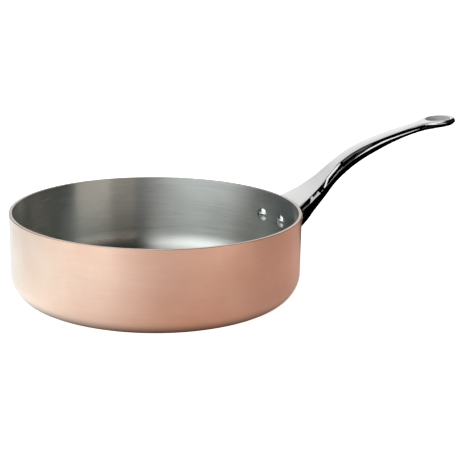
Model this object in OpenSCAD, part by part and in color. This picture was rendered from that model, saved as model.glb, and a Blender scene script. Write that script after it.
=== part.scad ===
// Straight-sided copper saucepan with a bonded steel lining and a long cast handle on two rivets.
// The origin is the centre of the underside. The handle runs along +X and the rim looks up +Z.

/* [Pan] */
// Inside diameter of the lining
bore_d = 240; // [200:1:280]
// Height of the rim above the table
pan_h = 72.5; // [70:0.5:110]
// Outer radius of the corner between wall and base
corner_r = 22; // [8:1:24]
// Thickness of the copper
copper_t = 2.2; // [1.2:0.1:3]
// Thickness of the bonded steel lining
lining_t = 0.3; // [0.2:0.1:1]
// Rounding on the outer edge of the cut rim
rim_round_r = 0.4; // [0.2:0.1:0.9]

/* [Handle line] */
// Reach of the handle from the pan wall to its tip
handle_reach = 212; // [180:1:250]
// Rise of the handle's top face from the wall to the tip
handle_rise = 66.5; // [50:0.5:80]
// Drop from the rim to the handle's top face at the wall
root_drop = 12.5; // [11:0.5:16]

/* [Handle section] */
// Width of the web at the wall
web_w = 40; // [36:1:44]
// Thickness of the web's edge
web_edge_t = 6; // [4:0.5:7]
// Width of the rib under the web at the wall
rib_w = 13; // [9:0.5:14]
// Height from the web's top face to the underside of the rib at the wall
root_depth = 37.5; // [34:0.5:40]
// Width of the top face at the neck
neck_w = 12.8; // [10:0.2:18]
// Width that the neck's slanted side faces add on each side
neck_facet_w = 2.4; // [1:0.1:4]
// Width of the top face along the grip
grip_w = 14.8; // [11:0.2:20]
// Least height of the grip
grip_depth = 8; // [7:0.5:12]
// Width of the grip's rounded underside
keel_w = 9; // [6:0.5:10]
// Crown of the top face over a flat
crown_h = 0.3; // [0.1:0.1:0.8]
// Rounding on the edges of the top face
edge_r = 0.8; // [0.4:0.1:1.2]

/* [Hanging eye] */
// Width of the opening
eye_w = 22.5; // [16:0.5:24.5]
// Length of the opening
eye_len = 25; // [25:0.5:34]
// Width of the opening's narrow end towards the pan
eye_narrow_w = 18; // [12:0.5:19]
// Width of the ring on each side of the opening
ring_side_w = 4.1; // [3.1:0.1:7]
// Width of the ring at the tip
ring_tip_w = 6.5; // [5:0.1:9]
// Width of the slanted face that runs round the ring's outer edge
ring_facet_w = 2.2; // [1:0.1:3]
// Width and depth of that slanted face where it passes the tip
tip_facet_w = 1; // [0.5:0.1:1.5]

/* [Flange] */
// Width of the flange against the wall
flange_w = 46; // [44:1:54]
// Thickness of the flange
flange_t = 4.5; // [3:0.5:6]
// Height of the flange's straight sides above its half-round foot
flange_side_h = 12.5; // [8:0.5:14]
// Drop from the web's top face to the flange's top edge
flange_drop = 1; // [0.5:0.25:2]

/* [Rivets] */
// Spacing of the two rivets, straight across
rivet_pitch = 28; // [27:0.5:32]
// Drop from the rim to the rivets
rivet_drop = 23; // [21:0.5:26]
// Diameter of the shank
rivet_shank_d = 6; // [4:0.5:8]
// Diameter of the domed heads inside the pan
rivet_head_d = 12.4; // [9:0.2:13]
// Height of the domed heads
rivet_head_h = 2.8; // [1.5:0.1:4]
// Diameter of the hammered heads outside
rivet_tail_d = 9; // [8:0.2:10]
// Height of the hammered heads
rivet_tail_h = 2; // [1.2:0.1:3]
// Gap between shank and hole, all round
rivet_gap = 0.05; // [0.02:0.01:0.1]

/* [Hidden] */
$fn = 180;
small_fn = 48;
overrun = 3;

bore_r = bore_d / 2;
wall_t = copper_t + lining_t;
lining_r = bore_r + lining_t;
pan_r = bore_r + wall_t;
flange_r = pan_r + flange_t;

web_top_z = pan_h - root_drop;
rivet_z = pan_h - rivet_drop;
rivet_side_angle = asin(rivet_pitch / 2 / bore_r);

tip_x = pan_r + handle_reach;
tip_r = ring_tip_w + eye_w / 2;
ring_r = eye_w / 2 + ring_side_w;
eye_x = tip_x - tip_r;
eye_narrow_x = tip_x - ring_tip_w - eye_len + eye_narrow_w / 2;
ring_start_x = eye_x - 2 * ring_r;
tip_round = grip_depth / 8;
least_half_w = edge_r / 2;

// Places along the handle, as shares of its reach, and the forms there
place_shares = [0, 0.055, 0.09, 0.13, 0.17, 0.205, 0.25, 0.32, 0.42, 0.55, 0.70, 0.84, 1];
// Height of the top face, as shares of the rise
rise_shares = [0, 0.015, 0.065, 0.123, 0.185, 0.25, 0.35, 0.514, 0.671, 0.789, 0.884, 0.955, 1];
// Depth of the section, between the least grip depth and the root depth
depth_shares = [1, 0.9, 0.86, 0.83, 0.72, 0.6, 0.515, 0.385, 0.275, 0.155, 0.04, 0.02, 0.01];
// Width of the top face, from the neck's to the web's, up to the neck
flare_shares = [1, 0.92, 0.85, 0.72, 0.52, 0.385, 0.155, 0, 0, 0, 0, 0, 0];
// Width of the top face, from the neck's to the grip's, past the neck
swell_shares = [0, 0, 0, 0, 0, 0, 0, 0, 0.3, 1, 0.7, 0, 0];
// Drop from the top face to the widest line, in edge thicknesses
crease_shares = [0.8, 0.9, 1.05, 1.02, 1, 1.04, 1.17, 1.1, 0.92, 0.57, 0.5, 0.5, 0.5];
// Slant of the side faces, in facet widths
slant_shares = [0, 0, 0, 0.05, 0.2, 0.5, 0.9, 1, 0.4, 0.15, 0.1, 0.1, 0.1];
// How far the section is a web on a rib, and not one rounded body
web_shares = [1, 1, 1, 0.95, 0.8, 0.65, 0.4, 0.1, 0, 0, 0, 0, 0];
// Width of the underside, between the keel's and the rib's
rib_shares = [1, 1, 0.95, 0.9, 0.8, 0.7, 0.5, 0.3, 0.1, 0, 0, 0, 0];
// Rounding of the underside, in the height from it to the widest line
keel_round_share = 0.6;
// Width of the underside of the ring, in the ring's full width
ring_keel_share = 0.8;

// Counts of steps round one section and along the handle
edge_steps = 3;
side_steps = 7;
keel_steps = 5;
shank_steps = 56;
tip_steps = 8;
// Angle at which the round outline of the tip ends in a small flat
tip_turn = 86;

function mix(a, b, t) = a + (b - a) * t;
function clamp01(t) = max(0, min(1, t));
function ease(t) = let (c = clamp01(t)) c * c * (3 - 2 * c);

// Value of a table at a place, by a cubic through its neighbours
function span_of(x, i = 0) = i >= len(place_shares) - 2 || x <= place_shares[i + 1] ? i : span_of(x, i + 1);
function slope_at(t, i) =
    let (a = max(0, i - 1), b = min(len(t) - 1, i + 1))
    (t[b] - t[a]) / (place_shares[b] - place_shares[a]);
function value_at(t, x) =
    let (
        i = span_of(x),
        w = place_shares[i + 1] - place_shares[i],
        u = (x - place_shares[i]) / w
    )
    t[i] * (1 + 2 * u) * (1 - u) * (1 - u) + slope_at(t, i) * w * u * (1 - u) * (1 - u)
    + t[i + 1] * u * u * (3 - 2 * u) + slope_at(t, i + 1) * w * u * u * (u - 1);

function share_of(x) = clamp01((x - pan_r) / handle_reach);
function top_z(s) = web_top_z + handle_rise * value_at(rise_shares, s);
function shank_half_w(s) =
    (neck_w + (web_w - neck_w) * value_at(flare_shares, s)
    + (grip_w - neck_w) * value_at(swell_shares, s)) / 2;
// Half-width of the ring at a place, for an outline drawn in from the outermost one at its sides and its tip
function ring_half_w(x, side_inset, tip_inset) =
    let (u = clamp01((x - eye_x) / (tip_r - tip_inset)))
    max(least_half_w, (ring_r - side_inset) * sqrt(1 - u * u));
function ring_blend(x) = ease((x - ring_start_x) / (eye_x - ring_start_x));
// How far the slanted face has fallen beyond the end of the top face, from 0 to 1
function tip_slant(x) = clamp01((x - tip_x + tip_facet_w) / tip_facet_w);
// Rise of the underside that rounds it off at the tip
function tip_lift(x) =
    let (u = clamp01((x - tip_x + tip_round) / tip_round))
    tip_round * (1 - sqrt(1 - u * u));

// One section across the handle: points of its right half from the top's middle down to the keel
function half_section(x) =
    let (
        s = share_of(x),
        blend = ring_blend(x),
        half_w = mix(shank_half_w(s), ring_half_w(x, ring_facet_w, tip_facet_w), blend),
        slant_w = neck_facet_w * value_at(slant_shares, s),
        wide_w = mix(shank_half_w(s) + slant_w, ring_half_w(x, 0, 0), blend),
        edge = min(edge_r, half_w / 2),
        crease_z = top_z(s) - web_edge_t * value_at(crease_shares, s),
        high_z = top_z(s) - tip_facet_w * tip_slant(x),
        depth = mix(grip_depth, root_depth, value_at(depth_shares, s)),
        low_z = top_z(s) - depth + tip_lift(x),
        under_w = mix(keel_w, rib_w, value_at(rib_shares, s)) / 2,
        keel_half_w = mix(under_w, wide_w * ring_keel_share, blend),
        keel_r = min(keel_half_w, (crease_z - low_z) * keel_round_share),
        keel_z = low_z + keel_r,
        web = clamp01(value_at(web_shares, s)),
        corner_w = mix(wide_w, keel_half_w, web),
        corner_z = mix(mix(crease_z, keel_z, 0.5), crease_z, web)
    )
    concat(
        [[0, high_z + crown_h * (1 - tip_slant(x))]],
        [for (i = [0 : edge_steps])
            let (a = i / edge_steps * 90)
            [half_w - edge + edge * sin(a), high_z - edge + edge * cos(a)]],
        [for (i = [0 : side_steps])
            let (t = i / side_steps, p = pow(1 - t, 3), q = 3 * t * (1 - t), r = pow(t, 3))
            [wide_w * p + corner_w * q + keel_half_w * r, crease_z * p + corner_z * q + keel_z * r]],
        [for (i = [1 : keel_steps])
            let (a = i / keel_steps * 90)
            [keel_half_w * cos(a), keel_z - keel_r * sin(a)]]
    );

// Loft of the sections from inside the pan's wall to the tip
module handle_body() {
    start_x = bore_r - overrun;
    xs = concat(
        [for (i = [0 : shank_steps - 1]) mix(start_x, eye_x, i / shank_steps)],
        [for (i = [0 : tip_steps]) eye_x + tip_r * sin(i / tip_steps * tip_turn)]
    );
    rings = [for (x = xs)
        let (half = half_section(x), n = len(half))
        concat(
            [for (p = half) [x, p[0], p[1]]],
            [for (i = [n - 2 : -1 : 1]) [x, -half[i][0], half[i][1]]]
        )];
    n = len(rings[0]);
    last = len(rings) - 1;
    points = [for (ring = rings) each ring];
    sides = [for (k = [0 : last - 1]) for (i = [0 : n - 1])
        let (a = k * n + i, b = k * n + (i + 1) % n)
        each [[a, b, b + n], [a, b + n, a + n]]];
    near_cap = [for (i = [n - 1 : -1 : 0]) i];
    far_cap = [for (i = [0 : n - 1]) last * n + i];
    polyhedron(points = points, faces = concat(sides, [near_cap, far_cap]), convexity = 6);
}

// Half-section of a pan-shaped solid, from its floor to its top, for the revolve
module pan_profile(r, floor_z, top_z, low_r) {
    translate([0, floor_z]) square([r - low_r, low_r]);
    translate([0, floor_z + low_r]) square([r, top_z - floor_z - low_r]);
    translate([r - low_r, floor_z + low_r])
        intersection() {
            circle(low_r);
            translate([0, -low_r]) square(low_r);
        }
}

// Sliver that is cut from the outer edge of the rim to round it
module rim_edge_cut() {
    translate([pan_r - rim_round_r, pan_h - rim_round_r])
        difference() {
            square(rim_round_r + overrun);
            circle(rim_round_r, $fn = small_fn);
        }
}

// Places a child that points along +X at one rivet, with the child's origin on the pan's axis
module at_rivet(side) {
    rotate([0, 0, side * rivet_side_angle])
        translate([0, 0, rivet_z])
            children();
}

module rivet_hole(side) {
    at_rivet(side)
        translate([bore_r - overrun, 0, 0])
            rotate([0, 90, 0])
                cylinder(r = rivet_shank_d / 2 + rivet_gap, h = wall_t + flange_t + 2 * overrun, $fn = small_fn);
}

// Domed head that stands h above the origin, with a straight stem of the same width below it
module dome(d, h, stem) {
    dome_r = (d * d / 4 + h * h) / (2 * h);
    intersection() {
        translate([0, 0, h - dome_r]) sphere(dome_r);
        translate([0, 0, -stem]) cylinder(d = d, h = stem + dome_r, $fn = small_fn);
    }
}

// Rivet with both heads pressed to the curve of the wall that each one lies on
module rivet(side) {
    in_x = sqrt(bore_r * bore_r - rivet_head_d * rivet_head_d / 4);
    out_x = sqrt(flange_r * flange_r - rivet_tail_d * rivet_tail_d / 4);
    at_rivet(side)
        translate([in_x, 0, 0])
            rotate([0, 90, 0])
                cylinder(d = rivet_shank_d, h = out_x - in_x + rivet_tail_h / 2, $fn = small_fn);
    intersection() {
        at_rivet(side) translate([in_x, 0, 0]) rotate([0, -90, 0]) dome(rivet_head_d, rivet_head_h, wall_t);
        cylinder(r = bore_r, h = pan_h);
    }
    difference() {
        at_rivet(side) translate([out_x, 0, 0]) rotate([0, 90, 0]) dome(rivet_tail_d, rivet_tail_h, flange_t / 2);
        cylinder(r = flange_r, h = pan_h);
    }
}

module copper_shell() {
    color([0.79, 0.59, 0.5])
        difference() {
            rotate_extrude()
                difference() {
                    pan_profile(pan_r, 0, pan_h, corner_r);
                    pan_profile(lining_r, copper_t, pan_h + overrun, corner_r - copper_t);
                    rim_edge_cut();
                }
            for (side = [-1, 1]) rivet_hole(side);
        }
}

module steel_lining() {
    color([0.7, 0.7, 0.69])
        difference() {
            rotate_extrude()
                difference() {
                    pan_profile(lining_r, copper_t, pan_h, corner_r - copper_t);
                    pan_profile(bore_r, wall_t, pan_h + overrun, corner_r - wall_t);
                }
            for (side = [-1, 1]) rivet_hole(side);
        }
}

// Plate with a half-round foot, curved to hug the pan's wall
module flange() {
    foot_z = web_top_z - flange_drop - flange_side_h;
    intersection() {
        difference() {
            cylinder(r = flange_r, h = pan_h);
            translate([0, 0, -overrun]) cylinder(r = pan_r, h = pan_h + 2 * overrun);
        }
        translate([pan_r / 2, 0, foot_z])
            rotate([90, 0, 90])
                linear_extrude(flange_r) {
                    translate([-flange_w / 2, 0]) square([flange_w, flange_side_h]);
                    circle(d = flange_w);
                }
    }
}

// Cutter for the opening: two round ends joined by their common tangents, square to the top face
module eye() {
    big_r = eye_w / 2;
    small_r = eye_narrow_w / 2;
    gap = eye_x - eye_narrow_x;
    lean = asin((big_r - small_r) / gap);
    high_z = top_z(share_of(eye_x));
    rise = high_z - top_z(share_of(eye_narrow_x));
    cut_h = 4 * grip_depth;
    translate([eye_x, 0, high_z])
        rotate([0, -atan(rise / gap), 0])
            translate([0, 0, -cut_h / 2])
                linear_extrude(cut_h) {
                    circle(big_r, $fn = small_fn);
                    translate([-gap, 0]) circle(small_r, $fn = small_fn);
                    polygon([
                        [-big_r * sin(lean), big_r * cos(lean)],
                        [-gap - small_r * sin(lean), small_r * cos(lean)],
                        [-gap - small_r * sin(lean), -small_r * cos(lean)],
                        [-big_r * sin(lean), -big_r * cos(lean)]
                    ]);
                }
}

module handle() {
    color([0.62, 0.63, 0.64])
        difference() {
            union() {
                difference() {
                    handle_body();
                    translate([0, 0, -overrun]) cylinder(r = pan_r, h = pan_h + 2 * overrun);
                }
                flange();
            }
            for (side = [-1, 1]) rivet_hole(side);
            eye();
        }
}

module rivet_left() {
    color([0.86, 0.86, 0.86]) rivet(1);
}

module rivet_right() {
    color([0.86, 0.86, 0.86]) rivet(-1);
}

copper_shell();
steel_lining();
handle();
rivet_left();
rivet_right();
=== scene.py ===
import math
import bmesh
import bpy
from mathutils import Matrix, Vector


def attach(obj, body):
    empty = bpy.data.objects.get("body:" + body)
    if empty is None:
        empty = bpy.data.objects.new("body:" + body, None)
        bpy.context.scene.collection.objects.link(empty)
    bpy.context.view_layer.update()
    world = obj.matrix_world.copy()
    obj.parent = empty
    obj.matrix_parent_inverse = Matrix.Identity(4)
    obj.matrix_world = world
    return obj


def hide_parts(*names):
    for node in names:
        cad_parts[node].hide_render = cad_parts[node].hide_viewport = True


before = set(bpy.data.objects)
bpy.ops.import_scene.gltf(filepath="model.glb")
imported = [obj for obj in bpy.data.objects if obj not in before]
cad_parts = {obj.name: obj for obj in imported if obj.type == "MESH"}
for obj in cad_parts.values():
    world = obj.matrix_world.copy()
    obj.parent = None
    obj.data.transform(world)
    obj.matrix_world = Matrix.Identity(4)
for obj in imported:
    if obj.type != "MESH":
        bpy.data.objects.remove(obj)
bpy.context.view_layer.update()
scene = bpy.context.scene
body = "root"
toMetres = 0.001
mergeGap = 1e-4  # mm, points nearer than this become one
sharpAngle = 32  # degrees, an edge that turns further stays sharp
print("frame loaded")

# Camera: where the photographer stood, in millimetres and degrees
camera = {
    "place": (-475.2, -822.6, 315.3),
    "heading": 56.226,  # from +X towards +Y
    "pitch": 15.327,  # below the horizon
    "roll": 1.21,
    "lens": 90.86,
    "sensor": 36,
    "nearest": 10,  # nothing closer is drawn
}


def addCamera():
    data = bpy.data.cameras.new("camera")
    data.lens = camera["lens"]
    data.sensor_width = camera["sensor"]
    data.clip_start = camera["nearest"] * toMetres
    obj = bpy.data.objects.new("camera", data)
    scene.collection.objects.link(obj)
    turn = Matrix.Rotation(math.radians(camera["heading"] - 90), 4, "Z")
    tilt = Matrix.Rotation(math.radians(90 - camera["pitch"]), 4, "X")
    roll = Matrix.Rotation(math.radians(camera["roll"]), 4, "Z")
    obj.matrix_world = Matrix.Translation(Vector(camera["place"]) * toMetres) @ turn @ tilt @ roll
    scene.camera = obj


addCamera()


# Small helpers for values and nodes
def mix(a, b, t):
    return a + (b - a) * t


def clamp01(t):
    return max(0.0, min(1.0, t))


def ease(t):
    t = clamp01(t)
    return t * t * (3 - 2 * t)


# Colours are written as sRGB hex values, and shaders take them linear
def hexColour(text):
    channels = [int(text[i:i + 2], 16) / 255 for i in (1, 3, 5)]
    return [c / 12.92 if c <= 0.04045 else ((c + 0.055) / 1.055) ** 2.4 for c in channels] + [1.0]


# Adds a node. A socket is given by its name, or by its number after an underscore
def addNode(tree, kind, settings=None, **inputs):
    node = tree.nodes.new(kind)
    for name, value in (settings or {}).items():
        setattr(node, name, value)
    for name, value in inputs.items():
        socket = node.inputs[int(name[1:]) if name[0] == "_" else name.replace("_", " ")]
        if isinstance(value, bpy.types.NodeSocket):
            tree.links.new(value, socket)
        else:
            socket.default_value = value
    return node


def newMaterial(name):
    material = bpy.data.materials.new(name)
    material.use_nodes = True
    material.node_tree.nodes.clear()
    return material, material.node_tree


# Small helpers for meshes, in millimetres
def closeSolid(bm):
    bmesh.ops.remove_doubles(bm, verts=bm.verts, dist=mergeGap)
    bmesh.ops.holes_fill(bm, edges=[e for e in bm.edges if e.is_boundary], sides=0)
    bmesh.ops.recalc_face_normals(bm, faces=bm.faces)


# A grid of rows and columns whose points a function places, closed round the rows and at both ends
def gridSolid(rows, columns, place, faceKind=None):
    bm = bmesh.new()
    verts = bmesh.ops.create_grid(bm, x_segments=rows - 1, y_segments=columns, size=0.5)["verts"]
    rowOf = {v: round((v.co.x + 0.5) * (rows - 1)) for v in verts}
    columnOf = {v: round((v.co.y + 0.5) * columns) for v in verts}
    if faceKind:
        for face in bm.faces:
            face.material_index = faceKind(min(columnOf[v] for v in face.verts))
    for v in verts:
        v.co = place(rowOf[v], columnOf[v] % columns)
    closeSolid(bm)
    return bm


def roundCorners(bm, corners, radius, steps):
    bmesh.ops.bevel(bm, geom=corners, offset=radius, offset_type="OFFSET", segments=steps, profile=0.5,
                    affect="VERTICES", material=-1)


def spinClosed(bm, axis, steps):
    bmesh.ops.spin(bm, geom=bm.verts[:] + bm.edges[:], cent=(0, 0, 0), axis=axis, angle=math.tau,
                   steps=steps, use_merge=True)
    closeSolid(bm)


def smoothFaces(mesh):
    mesh.polygons.foreach_set("use_smooth", [True] * len(mesh.polygons))
    mesh.set_sharp_from_angle(angle=math.radians(sharpAngle))


# A mesh object in metres from a bmesh in millimetres
def toObject(bm, name, materials=()):
    bmesh.ops.scale(bm, vec=(toMetres,) * 3, verts=bm.verts)
    mesh = bpy.data.meshes.new(name)
    bm.to_mesh(mesh)
    bm.free()
    for material in materials:
        mesh.materials.append(material)
    smoothFaces(mesh)
    obj = bpy.data.objects.new(name, mesh)
    scene.collection.objects.link(obj)
    return obj


def roundCutter(name, radius, length, steps, place):
    bm = bmesh.new()
    bmesh.ops.create_cone(bm, cap_ends=True, segments=steps, radius1=radius, radius2=radius,
                          depth=length)
    bmesh.ops.transform(bm, matrix=place, verts=bm.verts)
    return toObject(bm, name)


# Joins or cuts with helper solids, applies the result and removes the helpers
def carve(obj, steps):
    for kind, tool in steps:
        modifier = obj.modifiers.new(tool.name, "BOOLEAN")
        modifier.operation = kind
        modifier.solver = "EXACT"
        modifier.object = tool
        modifier.material_mode = "TRANSFER" if kind == "UNION" else "INDEX"
    graph = bpy.context.evaluated_depsgraph_get()
    mesh = bpy.data.meshes.new_from_object(obj.evaluated_get(graph))
    obj.modifiers.clear()
    old = obj.data
    obj.data = mesh
    bpy.data.meshes.remove(old)
    smoothFaces(mesh)
    for kind, tool in steps:
        bpy.data.objects.remove(tool)


def addPiece(obj, node):
    obj.name = node + "Look"
    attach(obj, body)
    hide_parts(node)


# Brushed metals, with lengths in millimetres
copperLook = {
    "light": "#E8BFA9",
    "dark": "#DDAE97",
    "clouds": 38,  # width of the faint clouds that polishing leaves
    "brushLength": 30,  # along the brushing
    "brushWidth": 1.6,  # coarser than the real 0.1 mm so that it shows
    "streaks": 0.25,  # how much the brushing colours the metal, next to the clouds
    "bump": 0.002,
    "roughness": (0.36, 0.42),
    "spread": 0.55,  # how far the brushing draws the light out
}
liningLook = {
    "light": "#CCCDC9",
    "dark": "#B8B9B6",
    "clouds": 45,
    "brushLength": 45,
    "brushWidth": 1.6,
    "streaks": 0.5,
    "bump": 0.003,
    "roughness": (0.27, 0.33),
    "spread": 1.0,
}
brushedR = 120  # the wall's radius, where a brush line has its full length
noiseRange = {"From_Min": 0.3, "From_Max": 0.7}  # most of a noise's values
streakRange = {"From_Min": 0.35, "From_Max": 0.65}  # narrower, for firmer streaks


# Metal brushed round the pan's axis. The lines run round it, so the light spreads across them
def brushedRound(name, look):
    material, tree = newMaterial(name)
    coords = addNode(tree, "ShaderNodeTexCoord").outputs["Object"]
    parts = addNode(tree, "ShaderNodeSeparateXYZ", Vector=coords)
    flat = addNode(tree, "ShaderNodeCombineXYZ", X=parts.outputs["X"], Y=parts.outputs["Y"])
    radius = addNode(tree, "ShaderNodeVectorMath", {"operation": "LENGTH"}, _0=flat.outputs[0])
    around = addNode(tree, "ShaderNodeVectorMath", {"operation": "NORMALIZE"}, _0=flat.outputs[0])
    turned = addNode(tree, "ShaderNodeVectorMath", {"operation": "SCALE"}, _0=around.outputs[0],
                     Scale=brushedR / look["brushLength"])
    along = addNode(tree, "ShaderNodeMath", {"operation": "ADD"}, _0=radius.outputs["Value"],
                    _1=parts.outputs["Z"])
    lines = addNode(tree, "ShaderNodeMath", {"operation": "MULTIPLY"}, _0=along.outputs[0],
                    _1=1 / (look["brushWidth"] * toMetres))
    lift = addNode(tree, "ShaderNodeCombineXYZ", Z=lines.outputs[0])
    brushCoords = addNode(tree, "ShaderNodeVectorMath", {"operation": "ADD"}, _0=turned.outputs[0],
                          _1=lift.outputs[0])
    brush = addNode(tree, "ShaderNodeTexNoise", Vector=brushCoords.outputs[0], Scale=1.0, Detail=3.0,
                    Roughness=0.6).outputs[0]
    clouds = addNode(tree, "ShaderNodeTexNoise", Vector=coords, Scale=1 / (look["clouds"] * toMetres),
                     Detail=3.0, Roughness=0.55).outputs[0]
    share = addNode(tree, "ShaderNodeMapRange", Value=clouds, **noiseRange)
    streaks = addNode(tree, "ShaderNodeMapRange", Value=brush, **streakRange)
    blended = addNode(tree, "ShaderNodeMix", _0=look["streaks"], _2=share.outputs[0],
                      _3=streaks.outputs[0])
    colour = addNode(tree, "ShaderNodeMix", {"data_type": "RGBA"}, _0=blended.outputs[0],
                     _6=hexColour(look["dark"]), _7=hexColour(look["light"]))
    smooth, rough = look["roughness"]
    roughness = addNode(tree, "ShaderNodeMapRange", Value=brush, To_Min=smooth, To_Max=rough,
                        **noiseRange)
    bump = addNode(tree, "ShaderNodeBump", Strength=1.0, Distance=look["bump"] * toMetres, Height=brush)
    tangent = addNode(tree, "ShaderNodeTangent", {"direction_type": "RADIAL", "axis": "Z"})
    shader = addNode(tree, "ShaderNodeBsdfPrincipled", Base_Color=colour.outputs[2], Metallic=1.0,
                     Roughness=roughness.outputs[0], Anisotropic=look["spread"],
                     Anisotropic_Rotation=0.25, Normal=bump.outputs[0], Tangent=tangent.outputs[0])
    addNode(tree, "ShaderNodeOutputMaterial", Surface=shader.outputs[0])
    return material


# Copper sheet, drawn, polished and brushed round: warm and satin, with long soft streaks
brushedCopper = brushedRound("brushedCopper", copperLook)
# Stainless skin rolled on to the copper, brushed round: grey, with clear vertical bands of light
brushedSteel = brushedRound("brushedStainlessLining", liningLook)

# Metals with a grain, whose width and height are in millimetres. The stretch makes it longer along X
satinLook = {"colour": "#E8E8E7", "roughness": (0.3, 0.42), "grain": 0.6, "stretch": 1, "bump": 0.004}
eyeLook = {**satinLook, "roughness": (0.65, 0.75)}
buffedLook = {"colour": "#E4E5E6", "roughness": (0.05, 0.09), "grain": 3.5, "stretch": 3, "bump": 0.002}
rivetLook = {"colour": "#D6D6D4", "roughness": (0.08, 0.14), "grain": 1.5, "stretch": 1, "bump": 0.002}
# The rim's greyer, less pink colour is a painted highlight along the rounded rim
paintedRimHighlightLook = {"colour": "#B8A294", "roughness": (0.2, 0.28), "grain": 2.5, "stretch": 1, "bump": 0.002}


def grainedMetal(name, look):
    material, tree = newMaterial(name)
    coords = addNode(tree, "ShaderNodeTexCoord").outputs["Object"]
    scaled = addNode(tree, "ShaderNodeVectorMath", {"operation": "MULTIPLY"}, _0=coords,
                     _1=[1 / (look["grain"] * toMetres * s) for s in (look["stretch"], 1, 1)])
    grain = addNode(tree, "ShaderNodeTexNoise", Vector=scaled.outputs[0], Scale=1.0, Detail=2.0,
                    Roughness=0.5).outputs[0]
    smooth, rough = look["roughness"]
    roughness = addNode(tree, "ShaderNodeMapRange", Value=grain, To_Min=smooth, To_Max=rough,
                        **noiseRange)
    bump = addNode(tree, "ShaderNodeBump", Strength=1.0, Distance=look["bump"] * toMetres, Height=grain)
    shader = addNode(tree, "ShaderNodeBsdfPrincipled", Base_Color=hexColour(look["colour"]),
                     Metallic=1.0, Roughness=roughness.outputs[0], Normal=bump.outputs[0])
    addNode(tree, "ShaderNodeOutputMaterial", Surface=shader.outputs[0])
    return material


# Cast stainless steel, belt-ground on the top face: pale and satin, with a fine even grain
satinCast = grainedMetal("satinCastSteel", satinLook)
# The same inside the hanging eye, where only a file reaches: dull and pale
satinEye = grainedMetal("satinEyeSteel", eyeLook)
# The same, buffed on the sides: a dark mirror whose lines waver over the cast skin's slow waves
buffedCast = grainedMetal("buffedCastSteel", buffedLook)
handleFinishes = [satinCast, buffedCast, satinEye]
# Stainless rivets, buffed: small bright domes
buffedRivet = grainedMetal("buffedRivetSteel", rivetLook)
# The copper's cut edge, polished: a thin line, greyer than the wall. Its greyer, less pink colour is a
# painted highlight along the rounded rim
polishedRimPaintedHighlight = grainedMetal("polishedRimPaintedHighlight", paintedRimHighlightLook)
print("materials made")

# Pan body, in millimetres
pan = {
    "boreR": 120.0,
    "height": 72.5,
    "cornerR": 22.0,
    "copperT": 2.2,
    "liningT": 0.3,
    "rimRound": 0.4,
    "liningRound": 0.12,
    "steps": 288,
    "cornerSteps": 14,
    "rimSteps": 4,
    "liningRimSteps": 3,
}
liningR = pan["boreR"] + pan["liningT"]
wallT = pan["copperT"] + pan["liningT"]
panR = pan["boreR"] + wallT


# Spins a half-section about Z. Each corner is radius, height, rounding and steps of that rounding
def spunSolid(corners):
    bm = bmesh.new()
    verts = [bm.verts.new((r, 0, z)) for r, z, rounding, count in corners]
    for a, b in zip(verts, verts[1:]):
        bm.edges.new((a, b))
    for vert, (r, z, rounding, count) in zip(verts, corners):
        if rounding:
            roundCorners(bm, [vert], rounding, count)
    spinClosed(bm, (0, 0, 1), pan["steps"])
    return bm


# The copper, whose cut rim is rounded and polished
def copperBody():
    corner = pan["cornerR"]
    bm = spunSolid([
        (0, 0, 0, 0),
        (panR, 0, corner, pan["cornerSteps"]),
        (panR, pan["height"], pan["rimRound"], pan["rimSteps"]),
        (liningR, pan["height"], 0, 0),
        (liningR, pan["copperT"], corner - pan["copperT"], pan["cornerSteps"]),
        (0, pan["copperT"], 0, 0),
    ])
    # The rim's top faces take the rim material, whose greyer colour is a painted highlight
    for face in bm.faces:
        if face.calc_center_median().z > pan["height"] - pan["rimRound"]:
            face.material_index = 1
    return toObject(bm, "shell", [brushedCopper, polishedRimPaintedHighlight])


def liningBody():
    corner = pan["cornerR"]
    bm = spunSolid([
        (0, pan["copperT"], 0, 0),
        (liningR, pan["copperT"], corner - pan["copperT"], pan["cornerSteps"]),
        (liningR, pan["height"], 0, 0),
        (pan["boreR"], pan["height"], pan["liningRound"], pan["liningRimSteps"]),
        (pan["boreR"], wallT, corner - wallT, pan["cornerSteps"]),
        (0, wallT, 0, 0),
    ])
    return toObject(bm, "lining", [brushedSteel])


# Rivets, in millimetres
rivet = {
    "pitch": 28.0,
    "drop": 23.0,
    "shankR": 3.0,
    "headR": 6.2,
    "headH": 2.8,
    "tailR": 4.5,
    "tailH": 2.0,
    "tailSink": 0.1,  # how far the tail's rim sinks into the flange
    "edge": 0.35,
    "gap": 0.05,
    "cutterLength": 30,
    "steps": 64,
    "domeSteps": 14,
    "edgeSteps": 3,
}
rivetZ = pan["height"] - rivet["drop"]
rivetAngle = math.asin(rivet["pitch"] / 2 / pan["boreR"])
flangeT = 4.5  # the handle's plate, which the rivets hold against the wall
flangeR = panR + flangeT


def atRivet(side):
    return Matrix.Rotation(side * rivetAngle, 4, "Z") @ Matrix.Translation((0, 0, rivetZ))


# One vertex spun into the arc of a dome. It ends at the dome's rim
def domeArc(bm, apexX, radius, height, direction):
    domeR = (radius * radius + height * height) / (2 * height)
    vert = bm.verts.new((apexX, 0, 0))
    arc = bmesh.ops.spin(bm, geom=[vert], cent=(apexX - direction * domeR, 0, 0),
                         axis=(0, -direction, 0), angle=math.asin(radius / domeR),
                         steps=rivet["domeSteps"])
    return arc["geom_last"][0]


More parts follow.
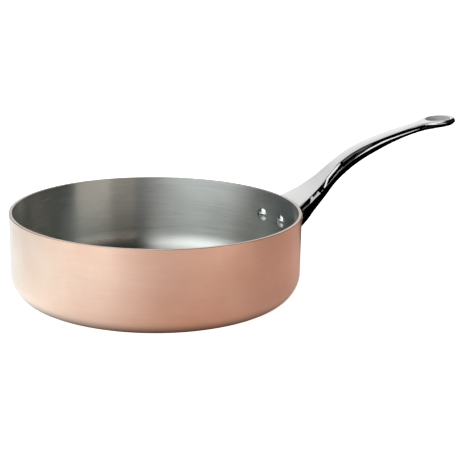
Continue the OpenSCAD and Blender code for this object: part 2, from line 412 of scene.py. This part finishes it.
def rivetBody(side, name):
    bm = bmesh.new()
    headX = math.sqrt(pan["boreR"] ** 2 - rivet["headR"] ** 2)
    tailX = math.sqrt(flangeR ** 2 - rivet["tailR"] ** 2)
    headRim = domeArc(bm, headX - rivet["headH"], rivet["headR"], rivet["headH"], -1)
    tailRim = domeArc(bm, tailX + rivet["tailH"], rivet["tailR"], rivet["tailH"], 1)
    sunkX = tailX - rivet["tailSink"]
    last = headRim
    for x, z in ((pan["boreR"], rivet["headR"]), (pan["boreR"], rivet["shankR"]),
                 (sunkX, rivet["shankR"]), (sunkX, rivet["tailR"])):
        nextVert = bm.verts.new((x, 0, z))
        bm.edges.new((last, nextVert))
        last = nextVert
    bm.edges.new((last, tailRim))
    roundCorners(bm, [headRim, tailRim], rivet["edge"], rivet["edgeSteps"])
    spinClosed(bm, (1, 0, 0), rivet["steps"])
    bmesh.ops.transform(bm, matrix=atRivet(side), verts=bm.verts)
    return toObject(bm, name, [buffedRivet])


# Cuts both rivet holes through a piece, after its own steps
def withHoles(obj, firstSteps=()):
    lay = Matrix.Translation((panR, 0, 0)) @ Matrix.Rotation(math.pi / 2, 4, "Y")
    cutters = [roundCutter("holeCutter", rivet["shankR"] + rivet["gap"], rivet["cutterLength"],
                           rivet["steps"], atRivet(side) @ lay) for side in (-1, 1)]
    carve(obj, list(firstSteps) + [("DIFFERENCE", cutter) for cutter in cutters])
    return obj


addPiece(withHoles(copperBody()), "copper_shell")
addPiece(withHoles(liningBody()), "steel_lining")
for side, node in ((1, "rivet_left"), (-1, "rivet_right")):
    addPiece(rivetBody(side, node), node)
print("pan and rivets made")

# Handle, in millimetres. The tables hold shares at the places along it
handle = {
    "reach": 212.0,
    "rise": 66.5,
    "drop": 12.5,
    "webW": 40.0,
    "edgeT": 6.0,
    "ribW": 13.0,
    "rootIn": 3,  # how far it starts inside the bore, before the wall is cut away
    "rootDepth": 37.5,
    "rootFillet": 2.5,
    "neckW": 12.8,
    "facetW": 2.4,
    "gripW": 14.8,
    "gripDepth": 8.0,
    "keelW": 9.0,
    "keelRound": 0.6,
    "crown": 0.24,
    "edgeR": 0.8,
    "creaseR": 1.3,
    "gripCreaseR": 1.0,
    "landH": 1.1,  # the narrow land along the widest line
    "gripLandH": 1.6,
    "landLean": 0.25,  # how far the land's ends lean in
    "aboveShare": 0.8,  # the most of the side above that the land's rounding takes
    "belowShare": 0.3,  # and of the side below
    "eyeW": 22.5,
    "eyeLength": 25.0,
    "eyeNarrowW": 18.0,
    "eyeEdge": 0.35,
    "eyeBelow": 20,  # how far its cutter reaches down
    "eyeAbove": 6,  # and up, flaring as much
    "ringW": 4.1,
    "ringFacetW": 2.2,
    "ringKeel": 0.8,
    "tipW": 6.5,
    "tipFacetW": 1.0,
    "tipRound": 1.0,
    "tipTurn": 86,  # degrees, its sections lie on an arc that ends just short of the tip
    "cutterH": 217.5,  # of the cylinder that cuts the wall out of its root
    "step": 1.4,  # between sections along the shank
    "tipSteps": 22,
    "crownSteps": 4,
    "edgeSteps": 4,
    "creaseSteps": 3,
    "sideSteps": 12,
    "keelSteps": 7,
    "eyeSteps": 96,
}
places = [0, 0.055, 0.09, 0.13, 0.17, 0.205, 0.25, 0.32, 0.42, 0.55, 0.70, 0.84, 1]
shares = {
    "rise": [0, 0.015, 0.065, 0.123, 0.185, 0.25, 0.35, 0.514, 0.671, 0.789, 0.884, 0.955, 1],
    "depth": [1, 0.9, 0.86, 0.83, 0.72, 0.6, 0.515, 0.385, 0.275, 0.155, 0.04, 0.02, 0.01],
    "flare": [1, 0.92, 0.85, 0.72, 0.52, 0.385, 0.155, 0, 0, 0, 0, 0, 0],
    "swell": [0, 0, 0, 0, 0, 0, 0, 0, 0.3, 1, 0.7, 0, 0],
    "crease": [0.8, 0.9, 1.05, 1.02, 1, 1.04, 1.17, 1.1, 0.92, 0.57, 0.5, 0.5, 0.5],
    "slant": [0, 0, 0, 0.05, 0.2, 0.5, 0.9, 1, 0.4, 0.15, 0.1, 0.1, 0.1],
    "web": [1, 1, 1, 0.95, 0.8, 0.65, 0.4, 0.1, 0, 0, 0, 0, 0],
    "rib": [1, 1, 0.95, 0.9, 0.8, 0.7, 0.5, 0.3, 0.1, 0, 0, 0, 0],
    "soft": [0, 0, 0, 0, 0, 0, 0, 0.1, 0.5, 1, 0.6, 0, 0],
}
tipX = panR + handle["reach"]
tipR = handle["tipW"] + handle["eyeW"] / 2
ringR = handle["eyeW"] / 2 + handle["ringW"]
eyeX = tipX - tipR
narrowX = tipX - handle["tipW"] - handle["eyeLength"] + handle["eyeNarrowW"] / 2
ringStartX = eyeX - 2 * ringR


# Value of a table at a place, by a cubic through its neighbours
def valueAt(name, s):
    table = shares[name]
    last = len(places) - 1

    def slope(i):
        a, b = max(0, i - 1), min(last, i + 1)
        return (table[b] - table[a]) / (places[b] - places[a])

    i = next((k for k in range(last - 1) if s <= places[k + 1]), last - 1)
    w = places[i + 1] - places[i]
    u = (s - places[i]) / w
    return (table[i] * (1 + 2 * u) * (1 - u) ** 2 + slope(i) * w * u * (1 - u) ** 2
            + table[i + 1] * u * u * (3 - 2 * u) + slope(i + 1) * w * u * u * (u - 1))


def shareOf(x):
    return clamp01((x - panR) / handle["reach"])


def topZ(s):
    return pan["height"] - handle["drop"] + handle["rise"] * valueAt("rise", s)


def shankHalfW(s):
    return (handle["neckW"] + (handle["webW"] - handle["neckW"]) * valueAt("flare", s)
            + (handle["gripW"] - handle["neckW"]) * valueAt("swell", s)) / 2


def ringHalfW(x, sideInset, tipInset):
    u = clamp01((x - eyeX) / (tipR - tipInset))
    return max(handle["edgeR"] / 2, (ringR - sideInset) * math.sqrt(1 - u * u))


# Right half of one section, from the top's middle down to the keel, as width and height pairs
def halfSection(x):
    s = shareOf(x)
    blend = ease((x - ringStartX) / (eyeX - ringStartX))
    halfW = mix(shankHalfW(s), ringHalfW(x, handle["ringFacetW"], handle["tipFacetW"]), blend)
    wideW = mix(shankHalfW(s) + handle["facetW"] * valueAt("slant", s), ringHalfW(x, 0, 0), blend)
    edge = min(handle["edgeR"], halfW / 2)
    creaseZ = topZ(s) - handle["edgeT"] * valueAt("crease", s)
    tipSlant = clamp01((x - tipX + handle["tipFacetW"]) / handle["tipFacetW"])
    highZ = topZ(s) - handle["tipFacetW"] * tipSlant
    u = clamp01((x - tipX + handle["tipRound"]) / handle["tipRound"])
    lowZ = (topZ(s) - mix(handle["gripDepth"], handle["rootDepth"], valueAt("depth", s))
            + handle["tipRound"] * (1 - math.sqrt(1 - u * u)))
    underW = mix(handle["keelW"], handle["ribW"], valueAt("rib", s)) / 2
    keelW = mix(underW, wideW * handle["ringKeel"], blend)
    keelR = min(keelW, (creaseZ - lowZ) * handle["keelRound"])
    keelZ = lowZ + keelR
    web = clamp01(valueAt("web", s))
    cornerW = mix(wideW, keelW, web)
    cornerZ = mix(mix(creaseZ, keelZ, 0.5), creaseZ, web)
    crown = handle["crown"] * (1 - tipSlant)
    flatW = halfW - edge

    points = []
    for i in range(handle["crownSteps"]):
        y = flatW * i / handle["crownSteps"]
        points.append((y, highZ + crown * (1 - (y / flatW) ** 2)))
    for i in range(handle["edgeSteps"] + 1):
        a = i / handle["edgeSteps"] * math.pi / 2
        points.append((flatW + edge * math.sin(a), highZ - edge + edge * math.cos(a)))

    # The widest line is a narrow land, rounded into the straight side above and the curved side below
    sideTop = points[-1]
    soft = clamp01(valueAt("soft", s))
    land = mix(handle["landH"], handle["gripLandH"], soft) * (1 - tipSlant) * (1 - web)
    reach = mix(handle["creaseR"], handle["gripCreaseR"], soft) + land / 2
    above = math.hypot(wideW - sideTop[0], creaseZ - sideTop[1])
    below = math.hypot(wideW - cornerW, creaseZ - cornerZ)
    reachUp = min(reach, above * handle["aboveShare"])
    # Below, it is a cubic, which leaves its start at three times the distance to its corner
    startT = min(handle["belowShare"], reach / (3 * max(below, mergeGap)))

    def under(t):
        p, q, r = (1 - t) ** 3, 3 * t * (1 - t), t ** 3
        return (wideW * p + cornerW * q + keelW * r, creaseZ * p + cornerZ * q + keelZ * r)

    upper = (mix(wideW, sideTop[0], reachUp / above), mix(creaseZ, sideTop[1], reachUp / above))
    lower = under(startT)
    landTop = (mix(wideW, upper[0], handle["landLean"]), creaseZ + land / 2)
    landFoot = (mix(wideW, lower[0], handle["landLean"]), creaseZ - land / 2)
    for start, middle, end in ((upper, (landTop[0], mix(landTop[1], upper[1], 0.5)), landTop),
                               (landFoot, (landFoot[0], mix(landFoot[1], lower[1], 0.5)), lower)):
        for i in range(handle["creaseSteps"] + 1):
            t = i / handle["creaseSteps"]
            points.append(tuple(start[k] * (1 - t) ** 2 + middle[k] * 2 * t * (1 - t) + end[k] * t * t
                                for k in (0, 1)))
    for i in range(1, handle["sideSteps"] + 1):
        points.append(under(mix(startT, 1, i / handle["sideSteps"])))
    for i in range(1, handle["keelSteps"] + 1):
        a = i / handle["keelSteps"] * math.pi / 2
        points.append((keelW * math.cos(a), keelZ - keelR * math.sin(a)))
    return points


# Whole section, with the cast fillet that swells its side and underside where it meets the flange
def section(x):
    half = halfSection(x)
    fillet = handle["rootFillet"]
    grown = []
    for i, (y, z) in enumerate(half):
        before, after = half[max(0, i - 1)], half[min(len(half) - 1, i + 1)]
        across, down = after[0] - before[0], after[1] - before[1]
        size = math.hypot(across, down) or 1
        outY, outZ = -down / size, min(0, across / size)
        gap = clamp01((x - math.sqrt(flangeR ** 2 - y * y)) / fillet)
        grow = fillet * (1 - math.sqrt(1 - (1 - gap) ** 2)) if x < flangeR + fillet else 0
        grown.append((y + outY * grow if 0 < i < len(half) - 1 else y, z + outZ * grow))
    return grown + [(-y, z) for y, z in grown[-2:0:-1]]


def handleBody():
    startX = pan["boreR"] - handle["rootIn"]
    count = round((eyeX - startX) / handle["step"])
    stations = [mix(startX, eyeX, i / count) for i in range(count)]
    stations += [eyeX + tipR * math.sin(math.radians(i / handle["tipSteps"] * handle["tipTurn"]))
                 for i in range(handle["tipSteps"] + 1)]
    sections = [section(x) for x in stations]
    columns = len(sections[0])
    topEnd = handle["crownSteps"] + 1

    def place(row, column):
        return (stations[row], *sections[row][column])

    def finishOf(column):
        onTop = column < topEnd or column >= columns - topEnd
        return handleFinishes.index(satinCast if onTop else buffedCast)

    return toObject(gridSolid(len(stations), columns, place, finishOf), "handleBody", handleFinishes)


# Plate against the wall, with a half-round foot, in millimetres
flange = {
    "width": 46.0,
    "side": 12.5,
    "drop": 1.0,
    "edge": 1.2,
    "slice": 2.0,  # between the cuts that let it bend round the wall
    "footSteps": 36,
    "edgeSteps": 4,
}


def flangeBody():
    halfW = flange["width"] / 2
    topEdge = pan["height"] - handle["drop"] - flange["drop"]
    footZ = topEdge - flange["side"]
    bm = bmesh.new()
    start = bm.verts.new((0, halfW, footZ))
    foot = bmesh.ops.spin(bm, geom=[start], cent=(0, 0, footZ), axis=(1, 0, 0), angle=-math.pi,
                          steps=flange["footSteps"])
    end = foot["geom_last"][0]
    corners = [bm.verts.new((0, -halfW, topEdge)), bm.verts.new((0, halfW, topEdge))]
    for a, b in ((end, corners[0]), (corners[0], corners[1]), (corners[1], start)):
        bm.edges.new((a, b))
    face = bmesh.ops.contextual_create(bm, geom=bm.edges[:])["faces"]
    out = bmesh.ops.extrude_face_region(bm, geom=face)["geom"]
    outer = [g for g in out if isinstance(g, bmesh.types.BMVert)]
    bmesh.ops.translate(bm, vec=(flangeT, 0, 0), verts=outer)
    rim = [e for e in bm.edges if all(v.co.x > flangeT / 2 for v in e.verts)]
    bmesh.ops.bevel(bm, geom=rim, offset=flange["edge"], offset_type="OFFSET",
                    segments=flange["edgeSteps"], profile=0.5, affect="EDGES", material=-1)
    slices = int(halfW / flange["slice"])
    for i in range(-slices, slices + 1):
        bmesh.ops.bisect_plane(bm, geom=bm.verts[:] + bm.edges[:] + bm.faces[:], dist=mergeGap,
                               plane_co=(0, i * flange["slice"], 0), plane_no=(0, 1, 0))
    for v in bm.verts:
        v.co.x = math.sqrt((panR + v.co.x) ** 2 - v.co.y ** 2)
    bmesh.ops.recalc_face_normals(bm, faces=bm.faces)
    return toObject(bm, "flangeBody", handleFinishes)


# Cutter for the hanging eye: two round ends and their common tangents, flared at the top face's level
def eyeCutter():
    bigR, smallR = handle["eyeW"] / 2, handle["eyeNarrowW"] / 2
    gap = eyeX - narrowX
    highZ = topZ(shareOf(eyeX))
    slope = math.atan((highZ - topZ(shareOf(narrowX))) / gap)
    # Each layer is its height over the top face and what it adds to the eye's radius
    edge, above = handle["eyeEdge"], handle["eyeAbove"]
    layers = [(-handle["eyeBelow"], 0), (-edge, 0)]
    layers += [(-edge * math.cos(math.radians(a)), edge * (1 - math.cos(math.radians(90 - a))))
               for a in (30, 60)]
    layers += [(0, edge), (edge, edge * 2), (above, above)]
    columns = handle["eyeSteps"]
    lay = Matrix.Translation((eyeX, 0, highZ)) @ Matrix.Rotation(-slope, 4, "Y")

    def place(row, column):
        height, grow = layers[row]
        a = math.tau * column / columns
        onNarrow = -gap * math.cos(a) + smallR > bigR
        r = (smallR if onNarrow else bigR) + grow
        return lay @ Vector(((-gap if onNarrow else 0) + r * math.cos(a), r * math.sin(a), height))

    bm = gridSolid(len(layers), columns, place)
    for face in bm.faces:
        face.material_index = handleFinishes.index(satinEye)
    return toObject(bm, "eyeCutter", handleFinishes)


wallCutter = roundCutter("wallCutter", panR, handle["cutterH"], pan["steps"], Matrix.Identity(4))
handleSteps = [("DIFFERENCE", wallCutter), ("UNION", flangeBody()), ("DIFFERENCE", eyeCutter())]
addPiece(withHoles(handleBody(), handleSteps), "handle")
print("handle made")

# Floor, backdrop and light. Lengths are in millimetres and angles in degrees, an azimuth from +X
# towards +Y
stageLook = {
    "floorHalf": 6000,
    "floorColour": "#F2F2F2",
    "floorGlow": 0.86,
    "worldFill": 0.9,
    "domeR": 1600,
    "domeX": 60,
    "domeDim": 0.012,  # what glows between the soft boxes
    "domeSteps": 72,
    "boardGap": 1,  # over the floor
}
# Soft boxes: middle, half-width and soft edge across; lowest, highest and soft edge upwards
softBoxes = [
    {"name": "key", "across": (188, 56, 34), "up": (35, 85, 9), "colour": "#FFFFFF", "level": 1.5},
    {"name": "keyLow", "across": (191, 30, 45), "up": (8, 64, 15), "colour": "#F0FBFF", "level": 1.2},
    {"name": "back", "across": (54, 28, 8), "up": (12, 36, 10), "colour": "#FFFFFF", "level": 1.27},
    {"name": "backHigh", "across": (84, 36, 16), "up": (37, 68, 8), "colour": "#FFFFFF", "level": 0.84},
    {"name": "horizon", "across": (217, 72, 40), "up": (-5, 20, 6), "colour": "#FFFFFF", "level": 0.78},
    {"name": "edge", "across": (296, 17, 4), "up": (8, 24, 6), "colour": "#FFF6EC", "level": 1.02},
    {"name": "strip", "across": (285, 28, 6), "up": (7, 30, 5.5), "colour": "#FFE6CE", "level": 0.6},
    {"name": "cool", "across": (112, 22, 14), "up": (-5, 26, 8), "colour": "#9AE2FF", "level": 0.12},
]
# Reflector boards on the floor. All of them rise out of a painted shadow under the pan, between the radii
# of the base, which is the same all round: the metal reflects it as a contact shadow. Each of the others
# brightens towards an azimuth, between two distances that way or two cosines of the angle from it, and may
# fade again between two more radii
# Its dark pair of radii bounds a painted shadow under the pan, which the metal reflects as a contact
# shadow
boardBase = {"colour": "#FFE8E1", "level": 0.57, "dark": (107, 128)}
boards = [
    {"name": "left", "towards": 138, "cosines": (-0.45, 0.95), "colour": "#B0E6F8", "level": 1.58},
    {"name": "front", "towards": 240, "between": (150, 260), "colour": "#DFF4FF", "level": 0.13},
    {"name": "foot", "towards": 215, "cosines": (0.3, 0.8), "fade": (150, 230), "colour": "#FFD098",
     "level": 0.09},
    {"name": "far", "towards": 240, "between": (400, 485), "colour": "#CDF3FF", "level": 0.55},
    {"name": "right", "towards": 5, "between": (80, 180), "colour": "#FFE8E1", "level": 0.2},
]
# Black flags that give the handle's polished side its dark: one hangs along the side at nearY, one lies
# below from nearY to farY, and one closes the end. The first two are x and z pairs
flags = {
    "nearY": -30,
    "farY": 30,
    "side": [(146, 50.5), (168, 50), (171, 46), (168, 41), (170, 34), (173, 28), (200, 46), (240, 70),
             (290, 86), (400, 94), (400, 131), (300, 130), (215, 127), (180, 120), (172, 100),
             (172, 80), (160, 68), (146, 62)],
    "under": [(130, 6), (150, 18), (170, 32), (200, 52), (240, 78), (290, 94), (400, 102)],
    "endZ": (70, 140),
}
# Cards in front of the hanging flag, as x and z pairs. Their reflections are the side's bright lines
cardsY = -29.5
cards = [
    {"name": "root", "level": 0.2,
     "outline": [(157, 50), (180, 50), (180, 56.6), (170, 56), (162, 55), (157, 53.5)]},
    {"name": "rise", "level": 0.7,
     "outline": [(180, 50), (196, 50), (196, 57), (191, 62.5), (187, 65), (183, 67), (180.6, 69.2),
                 (180.2, 72.5), (176, 72.5), (176, 65), (180.5, 62), (184, 59), (180, 57)]},
    {"name": "crest", "level": 0.7,
     "outline": [(182.5, 73), (184, 71.5), (188, 70.5), (190, 71), (190, 75.5), (187, 75.5),
                 (184, 75)]},
    {"name": "lens", "level": 1.1,
     "outline": [(187.5, 80.5), (189, 85), (189.7, 90), (191.5, 96), (195, 101), (201, 102.5),
                 (203, 100), (199, 93), (196, 87), (192, 82)]},
    {"name": "shoulder", "level": 0.12,
     "outline": [(203.5, 103), (210, 104), (222, 105), (234, 108), (242, 110.5), (241, 111.5),
                 (232, 109.8), (219, 107), (209, 107), (203, 105.3)]},
    {"name": "gripStart", "level": 0.07,
     "outline": [(197, 78), (206, 81), (223.5, 88), (223.5, 95), (212, 93), (200, 90)]},
    {"name": "grip", "level": 1.1,
     "outline": [(224, 92), (240, 96.5), (252, 100.5), (270, 103.5), (311, 108.3), (311, 110.8),
                 (285, 109), (258, 106.5), (240, 101.5)]},
    {"name": "ring", "level": 1.1,
     "outline": [(299, 131), (323, 131), (323, 165), (300, 165)]},
]


# 1 for the camera and for what metal or glass shows of the backdrop, and 0 for the light on the object
def seenDirectly(tree):
    path = addNode(tree, "ShaderNodeLightPath").outputs
    first = addNode(tree, "ShaderNodeMath", {"operation": "MAXIMUM"}, _0=path["Is Camera Ray"],
                    _1=path["Is Glossy Ray"])
    return addNode(tree, "ShaderNodeMath", {"operation": "MAXIMUM"}, _0=first.outputs[0],
                   _1=path["Is Transmission Ray"]).outputs[0]


# A stage object that the camera doesn't see and the metal reflects. The dome lights the floor, too
def addReflected(bm, name, material, lightsFloor=False):
    obj = toObject(bm, name, [material])
    material.cycles.emission_sampling = "NONE"
    obj.visible_camera = False
    obj.visible_shadow = False
    obj.visible_diffuse = lightsFloor


# Adds a colour times its level to what glows already. A ramp is a value, its start and where it's full
def addGlow(tree, total, look, ramps):
    share = look["level"]
    for value, start, full in ramps:
        ramp = addNode(tree, "ShaderNodeMapRange", {"interpolation_type": "SMOOTHSTEP"}, Value=value,
                       From_Min=start, From_Max=full)
        share = addNode(tree, "ShaderNodeMath", {"operation": "MULTIPLY"}, _0=share,
                        _1=ramp.outputs[0]).outputs[0]
    part = addNode(tree, "ShaderNodeVectorMath", {"operation": "SCALE"},
                   _0=hexColour(look["colour"])[:3], Scale=share)
    return addNode(tree, "ShaderNodeVectorMath", {"operation": "ADD"}, _0=total,
                   _1=part.outputs[0]).outputs[0]


def glowing(tree, colour):
    light = addNode(tree, "ShaderNodeEmission", Color=colour)
    addNode(tree, "ShaderNodeOutputMaterial", Surface=light.outputs[0])


def facing(azimuth):
    return (math.cos(math.radians(azimuth)), math.sin(math.radians(azimuth)), 0)


def addFloor():
    material, tree = newMaterial("paleFloor")
    paint = addNode(tree, "ShaderNodeBsdfDiffuse", Color=hexColour(stageLook["floorColour"]))
    level = addNode(tree, "ShaderNodeMath", {"operation": "MULTIPLY"}, _0=seenDirectly(tree),
                    _1=stageLook["floorGlow"])
    glow = addNode(tree, "ShaderNodeEmission", Strength=level.outputs[0])
    both = addNode(tree, "ShaderNodeAddShader", _0=paint.outputs[0], _1=glow.outputs[0])
    addNode(tree, "ShaderNodeOutputMaterial", Surface=both.outputs[0])
    bm = bmesh.new()
    bmesh.ops.create_grid(bm, x_segments=1, y_segments=1, size=stageLook["floorHalf"])
    toObject(bm, "floor", [material])


def addWorld():
    world = bpy.data.worlds.new("paleStudio")
    scene.world = world
    world.use_nodes = True
    tree = world.node_tree
    tree.nodes.clear()
    level = addNode(tree, "ShaderNodeMapRange", Value=seenDirectly(tree), To_Min=stageLook["worldFill"])
    sky = addNode(tree, "ShaderNodeBackground", Strength=level.outputs[0])
    addNode(tree, "ShaderNodeOutputWorld", Surface=sky.outputs[0])
    world.cycles.sampling_method = "NONE"


# Half a sphere round the object that carries the soft boxes
def addDome():
    material, tree = newMaterial("softBoxes")
    centre = (stageLook["domeX"], 0, 0)
    coords = addNode(tree, "ShaderNodeTexCoord").outputs["Object"]
    aim = addNode(tree, "ShaderNodeVectorMath", {"operation": "SUBTRACT"}, _0=coords,
                  _1=[c * toMetres for c in centre]).outputs[0]
    unit = addNode(tree, "ShaderNodeVectorMath", {"operation": "NORMALIZE"}, _0=aim)
    height = addNode(tree, "ShaderNodeSeparateXYZ", Vector=unit.outputs[0]).outputs["Z"]
    elevation = addNode(tree, "ShaderNodeMath", {"operation": "ARCSINE"}, _0=height).outputs[0]
    level = addNode(tree, "ShaderNodeVectorMath", {"operation": "MULTIPLY"}, _0=aim, _1=(1, 1, 0))
    around = addNode(tree, "ShaderNodeVectorMath", {"operation": "NORMALIZE"}, _0=level.outputs[0])
    total = (stageLook["domeDim"],) * 3
    for box in softBoxes:
        middle, half, edge = box["across"]
        low, high, rise = box["up"]
        dot = addNode(tree, "ShaderNodeVectorMath", {"operation": "DOT_PRODUCT"}, _0=around.outputs[0],
                      _1=facing(middle))
        turn = addNode(tree, "ShaderNodeMath", {"operation": "ARCCOSINE"}, _0=dot.outputs["Value"])
        ramps = [(turn.outputs[0], half + edge / 2, half - edge / 2),
                 (elevation, low - rise / 2, low + rise / 2),
                 (elevation, high + rise / 2, high - rise / 2)]
        total = addGlow(tree, total, box, [(v, math.radians(a), math.radians(b)) for v, a, b in ramps])
    glowing(tree, total)
    steps = stageLook["domeSteps"]
    bm = bmesh.new()
    bmesh.ops.create_uvsphere(bm, u_segments=steps, v_segments=steps // 2, radius=stageLook["domeR"])
    bmesh.ops.bisect_plane(bm, geom=bm.verts[:] + bm.edges[:] + bm.faces[:], dist=mergeGap,
                           plane_co=(0, 0, 0), plane_no=(0, 0, -1), clear_outer=True)
    bmesh.ops.translate(bm, vec=centre, verts=bm.verts)
    addReflected(bm, "dome", material, lightsFloor=True)


def addBoards():
    material, tree = newMaterial("reflectorBoards")
    coords = addNode(tree, "ShaderNodeTexCoord").outputs["Object"]
    aim = addNode(tree, "ShaderNodeVectorMath", {"operation": "NORMALIZE"}, _0=coords).outputs[0]
    radius = addNode(tree, "ShaderNodeVectorMath", {"operation": "LENGTH"}, _0=coords).outputs["Value"]
    total = [c * boardBase["level"] for c in hexColour(boardBase["colour"])[:3]]
    for board in boards:
        byAngle = "cosines" in board
        start, full = board["cosines"] if byAngle else [mm * toMetres for mm in board["between"]]
        dot = addNode(tree, "ShaderNodeVectorMath", {"operation": "DOT_PRODUCT"},
                      _0=aim if byAngle else coords, _1=facing(board["towards"]))
        ramps = [(dot.outputs["Value"], start, full)]
        if "fade" in board:
            near, far = board["fade"]
            ramps.append((radius, far * toMetres, near * toMetres))
        total = addGlow(tree, total, board, ramps)
    # Painted shadow: the boards fade to black inside the base's radii, a contact shadow under the pan that
    # the metal reflects
    start, full = boardBase["dark"]
    clearOfPaintedShadow = addNode(tree, "ShaderNodeMapRange", {"interpolation_type": "SMOOTHSTEP"}, Value=radius,
                  From_Min=start * toMetres, From_Max=full * toMetres)
    shown = addNode(tree, "ShaderNodeVectorMath", {"operation": "SCALE"}, _0=total,
                    Scale=clearOfPaintedShadow.outputs[0])
    glowing(tree, shown.outputs[0])
    bm = bmesh.new()
    bmesh.ops.create_circle(bm, cap_ends=True, segments=stageLook["domeSteps"],
                            radius=stageLook["domeR"])
    bmesh.ops.translate(bm, vec=(stageLook["domeX"], 0, stageLook["boardGap"]), verts=bm.verts)
    addReflected(bm, "boards", material)


def addFlags():
    material, tree = newMaterial("blackFlag")
    glowing(tree, hexColour("#000000"))
    nearY, farY = flags["nearY"], flags["farY"]
    bm = bmesh.new()
    bm.faces.new([bm.verts.new((x, nearY, z)) for x, z in flags["side"]])
    near = [bm.verts.new((x, nearY, z)) for x, z in flags["under"]]
    sheet = bmesh.ops.extrude_edge_only(bm, edges=[bm.edges.new(pair) for pair in zip(near, near[1:])])
    far = [g for g in sheet["geom"] if isinstance(g, bmesh.types.BMVert)]
    bmesh.ops.translate(bm, vec=(0, farY - nearY, 0), verts=far)
    endX = flags["under"][-1][0]
    low, high = flags["endZ"]
    endCorners = ((nearY, low), (farY, low), (farY, high), (nearY, high))
    bm.faces.new([bm.verts.new((endX, y, z)) for y, z in endCorners])
    addReflected(bm, "flags", material)


def addCards():
    for card in cards:
        name = card["name"] + "Card"
        material, tree = newMaterial(name)
        glowing(tree, [card["level"]] * 3 + [1])
        bm = bmesh.new()
        bm.faces.new([bm.verts.new((x, cardsY, z)) for x, z in card["outline"]])
        addReflected(bm, name, material)


addFloor()
addWorld()
addDome()
addBoards()
addFlags()
addCards()
print("stage made")

scene.view_settings.view_transform = "Standard"
